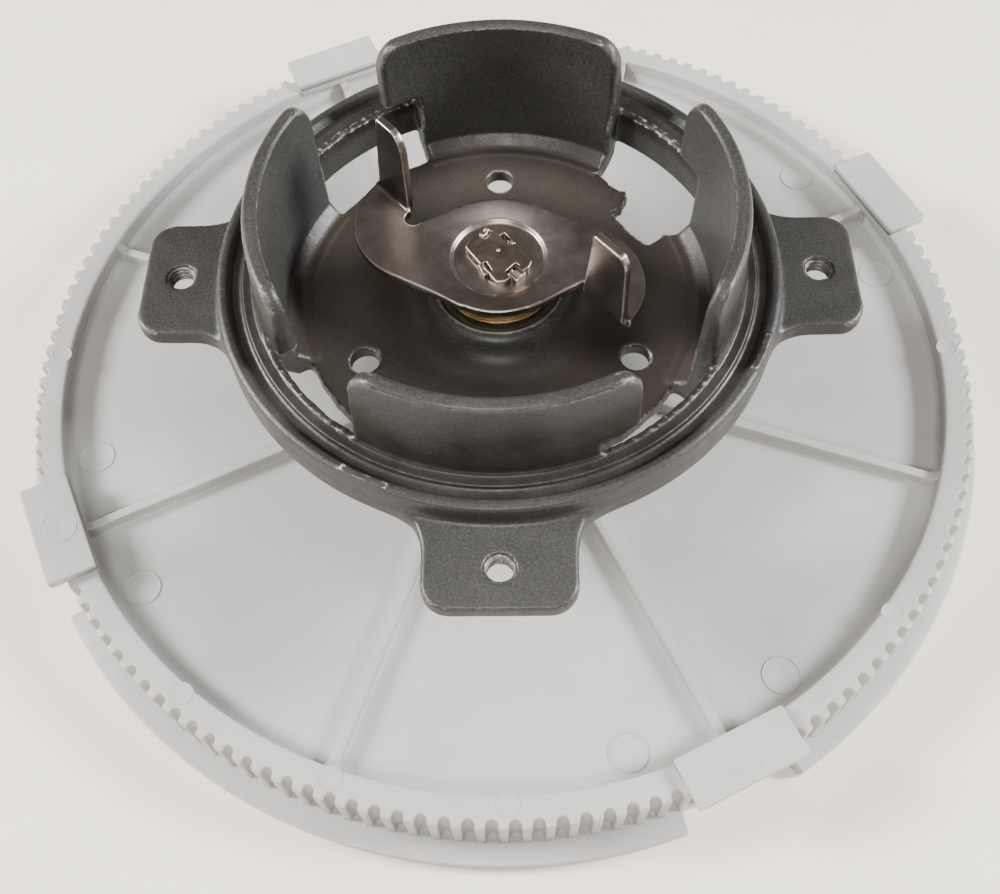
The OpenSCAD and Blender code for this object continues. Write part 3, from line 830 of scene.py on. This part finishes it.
def drive_shaft():
    """Shaft with a clip groove, wheel flats and a flat-sided head staked over the coupling."""
    U = spans((-5.4, -4.2, 0.1), (-4.2, 4.2, 0.1), (4.2, 5.4, 0.1))
    H = spans((0.1, 30.5, 0.3), (30.5, 32.8, 0.15), (32.8, 34.5, 0.07))
    u, w, z = (a.astype(np.float32) for a in (U[:, None, None], U[None, :, None], H[None, None, :]))
    r = np.hypot(u, w)
    head = np.maximum(np.abs(u) - 4.3, r - 4.75)
    shaft = si(np.where(z > 33.0, head, r - 4.0), np.maximum(0.25 - z, z - 34.1), 0.22)
    shaft = si(shaft, -np.maximum(3.2 - r, np.abs(z - 1.3) - 0.4), 0.1)
    # the head's flats lie along the first axis here, and the wheel end's along X of the frame
    shaft = si(shaft, np.where(z > 31.8, np.abs(w) - 2.95, -9), 0.1)
    a = math.radians(TANG_ANGLE)
    yy = u * math.sin(a) + w * math.cos(a)
    shaft = si(shaft, np.where(z < 10.1, np.abs(yy) - 3.2, -9), 0.15)
    # chisel stakes that spread the head: centre and half size on both axes, turn, top, raised or sunk
    stakes = (
        (4.25, 0.1, 0.75, 0.95, 12, 34.3, True),
        (3.15, 0.1, 0.35, 1.0, 12, 33.45, False),
        (0.9, -3.1, 0.85, 0.40, -8, 34.05, True),
        (0.9, -2.45, 0.85, 0.25, -8, 33.5, False),
        (-1.4, 2.45, 1.15, 0.42, 4, 33.35, False),
        (-1.4, 3.05, 0.9, 0.22, 4, 33.7, True),
        (-4.2, 0.6, 0.28, 0.9, 20, 34.25, True),
        (-3.6, 0.7, 0.22, 0.8, 20, 33.7, False),
    )
    for cu, cw, hu, hw, deg, top, raised in stakes:
        c, s = math.cos(math.radians(deg)), math.sin(math.radians(deg))
        lx, ly = (u - cu) * c + (w - cw) * s, -(u - cu) * s + (w - cw) * c
        plan = np.maximum(np.abs(lx) - hu, np.abs(ly) - hw)
        if raised:
            slope = 0.25 * lx + 0.12 * np.sin(5 * ly + cu)
            shaft = su(shaft, si(plan, np.maximum(33.0 - z, z - top + slope), 0.12), 0.12)
        else:
            shaft = si(shaft, -np.maximum(plan, top + 0.2 * lx - z), 0.12)
    punch = np.hypot(u + 0.5, w - 0.3) * 0.8 + (33.75 - z) * 0.6
    shaft = si(shaft, -punch, 0.2)
    v, q = surface_nets(shaft, (U, U, H))
    make("drive_shaft_staked", turned(v, TANG_ANGLE), q, SHAFT, "rotor", "drive_shaft",
         curvature(v, q, 2))


def ring_profile(inner, outer, low, high):
    return [(inner, low), (outer, low), (outer, high), (inner, high)]


def turned_parts():
    """Bushes and washers, as turned profiles with broken edges: (node, profile, material, slot, body)."""
    bore, washer_bore, flange = 4.03, 4.1, 7.8
    upper = [(bore, 20.5), (BORE_R, 20.5), (BORE_R, 27.42), (flange, 27.42), (flange, 28.9), (bore, 28.9)]
    lower = [(bore, 11.1), (flange, 11.1), (flange, 12.28), (BORE_R, 12.28), (BORE_R, 19.0), (bore, 19.0)]
    parts = (
        ("upper_bush", upper, BRONZE, "sintered_bronze", "socket"),
        ("lower_bush", lower, BRONZE, "sintered_bronze", "socket"),
        ("upper_thrust_washer", ring_profile(washer_bore, 7.5, 28.95, 29.95), BRONZE_WASHER,
         "bronze_washer", "rotor"),
        ("upper_spacer_washer", ring_profile(washer_bore, 7.0, 29.95, 31.8), DARK_STEEL,
         "shaft_steel", "rotor"),
        ("lower_thrust_washer", ring_profile(washer_bore, 8.0, 10.6, 11.05), BRONZE_WASHER,
         "bronze_washer", "rotor"),
        ("lower_spacer_washer", ring_profile(washer_bore, 8.5, 10.1, 10.6), ZINC, "zinc_steel", "rotor"),
        ("hub_washer", ring_profile(washer_bore, 8.5, 1.7, 2.2), ZINC, "zinc_steel", "rotor"),
    )
    for node, profile, mat, slot, body in parts:
        v, q = lathe(profile, 0.14)
        make(node + "_turned", v, q, mat, body, node, curvature(v, q, 1))


def broken_edges(node, mat):
    """Keeps a CAD node as it is and rounds its edges with modifiers."""
    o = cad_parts[node]
    o.data.materials.clear()
    o.data.materials.append(mat)
    weld = o.modifiers.new("weld", "WELD")
    weld.merge_threshold = 1e-6
    flat = o.modifiers.new("flat", "DECIMATE")
    flat.decimate_type = "DISSOLVE"
    flat.angle_limit = math.radians(1)
    bevel = o.modifiers.new("edge", "BEVEL")
    bevel.width = 0.00012
    bevel.segments = 2
    bevel.limit_method = "ANGLE"
    bevel.angle_limit = math.radians(35)
    bevel.harden_normals = True


pan_socket()
toothed_pulley()
drive_coupling()
drive_shaft()
turned_parts()
broken_edges("hub_insert", ZINC)
broken_edges("retaining_clip", SPRING)

# ---------------------------------------------------------------- floor, light and camera


def floor():
    p = Paint("pale_floor", (0.62, 0.60, 0.58), rough=0.7, spec=0.25)
    tint = p.mix(p.ramp(p.noise(60, 4), 0.3, 0.7), (0.82, 0.755, 0.675), (0.90, 0.835, 0.755))
    p.link(tint, "Base Color")
    p.bump((p.noise(3, 3), 0.02))
    me = bpy.data.meshes.new("floor")
    s, z = 1.5, -0.0001
    me.from_pydata([(-s, -s, z), (s, -s, z), (s, s, z), (-s, s, z)], [], [(0, 1, 2, 3)])
    me.materials.append(p.mat)
    o = bpy.data.objects.new("floor", me)
    bpy.context.scene.collection.objects.link(o)


def area(name, place, target, size, watts, color=(1, 1, 1)):
    lamp = bpy.data.lights.new(name, "AREA")
    lamp.shape, lamp.size, lamp.size_y = "RECTANGLE", size[0], size[1]
    lamp.energy, lamp.color = watts, color
    o = bpy.data.objects.new(name, lamp)
    o.location = place
    o.rotation_mode = "QUATERNION"
    o.rotation_quaternion = (Vector(target) - Vector(place)).to_track_quat("-Z", "Y")
    bpy.context.scene.collection.objects.link(o)


floor()
area("left", (-0.64, 0.06, 0.40), (0, 0, 0.01), (0.22, 0.20), 14.0, (1.0, 0.985, 0.965))
area("right", (0.64, 0.03, 0.40), (0, 0, 0.01), (0.22, 0.20), 13.2, (0.985, 0.99, 1.0))
area("overhead", (-0.05, 0.10, 0.80), (0, 0, 0), (0.40, 0.30), 1.0, (1.0, 0.985, 0.965))
area("front", (-0.06, -0.50, 0.55), (0, 0, 0.03), (0.32, 0.24), 4.2, (1.0, 0.975, 0.95))

world = bpy.data.worlds.new("soft_room")
world.use_nodes = True
world.node_tree.nodes["Background"].inputs[0].default_value = (1.0, 0.89, 0.80, 1)
world.node_tree.nodes["Background"].inputs[1].default_value = 0.19
bpy.context.scene.world = world

cam_data = bpy.data.cameras.new("camera")
cam_data.sensor_width = 36.0
cam_data.lens = 40.12
cam_data.shift_x = -0.0066
cam_data.clip_start, cam_data.clip_end = 0.01, 5.0
cam = bpy.data.objects.new("camera", cam_data)
bpy.context.scene.collection.objects.link(cam)
roll, tilt, swing = -0.03216, 2.63097, -0.0230
turn = Matrix.Rotation(roll, 3, "Z") @ Matrix.Rotation(tilt, 3, "X") @ Matrix.Rotation(swing, 3, "Z")
look = turn.transposed() @ Matrix(((1, 0, 0), (0, -1, 0), (0, 0, -1)))
cam.matrix_world = Matrix.Translation((0.00251, -0.09717, 0.15372)) @ look.to_4x4()
bpy.context.scene.camera = cam
